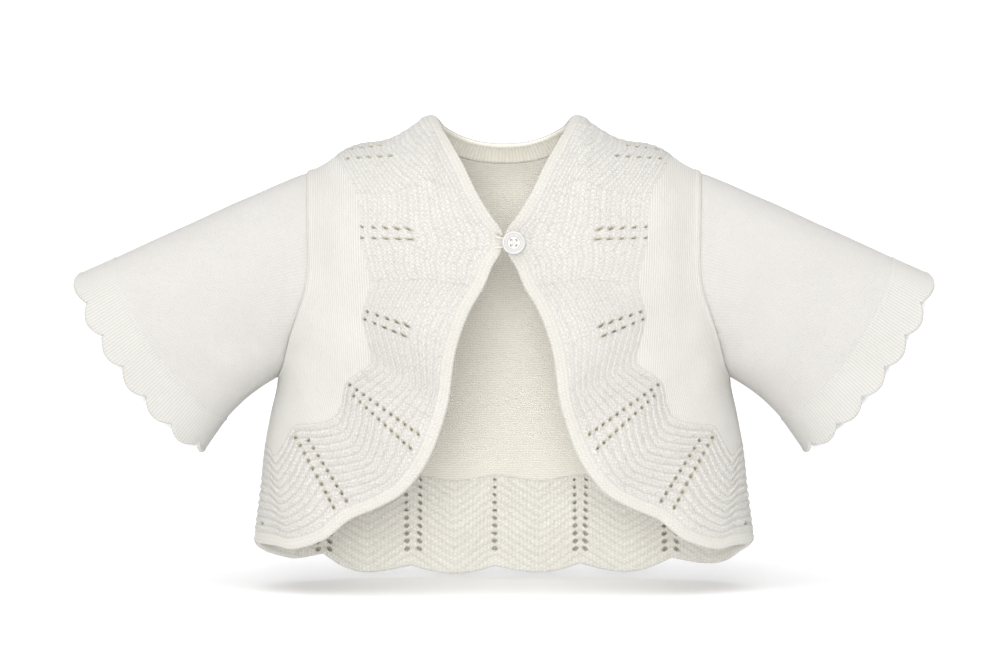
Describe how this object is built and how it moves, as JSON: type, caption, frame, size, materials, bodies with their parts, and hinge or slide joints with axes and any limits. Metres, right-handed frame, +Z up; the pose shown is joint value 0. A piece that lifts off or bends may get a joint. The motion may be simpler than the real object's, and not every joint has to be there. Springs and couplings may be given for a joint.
{
  "type": "baby cardigan",
  "caption": "Short knitted baby cardigan with bell sleeves, wide chevron lace borders, scalloped ribbed cuffs and a single button at the neck.",
  "frame": {"origin": "midway between the neck ends of the two shoulder seams, at the height of the tops of the shoulders, where the wearer's shoulders hold it", "axes": "+X to the viewer's right when looking at the front, +Y from the front to the back, +Z up"},
  "size_m": [0.4288, 0.1068, 0.2305],
  "materials": {
    "plain_knit": "ivory cotton stockinette, soft and matt",
    "lace_knit": "ivory cotton in ridged chevron lace with rows of eyelets",
    "rib_knit": "ivory cotton rib",
    "edging_knit": "ivory cotton edging, smooth and rounded",
    "button_white": "polished white plastic",
    "loop_thread": "ivory cotton thread"
  },
  "bodies": {
    "root": {"front_left": "plain_knit", "front_right": "plain_knit", "back": "plain_knit", "sleeve_left": "plain_knit", "sleeve_right": "plain_knit", "border_left": "lace_knit", "border_right": "lace_knit", "hem_back": "lace_knit", "cuff_left": "rib_knit", "cuff_right": "rib_knit", "neck_band": "rib_knit", "edging_left": "edging_knit", "edging_right": "edging_knit", "button": "button_white", "button_loop": "loop_thread"}
  },
  "joints": []
}
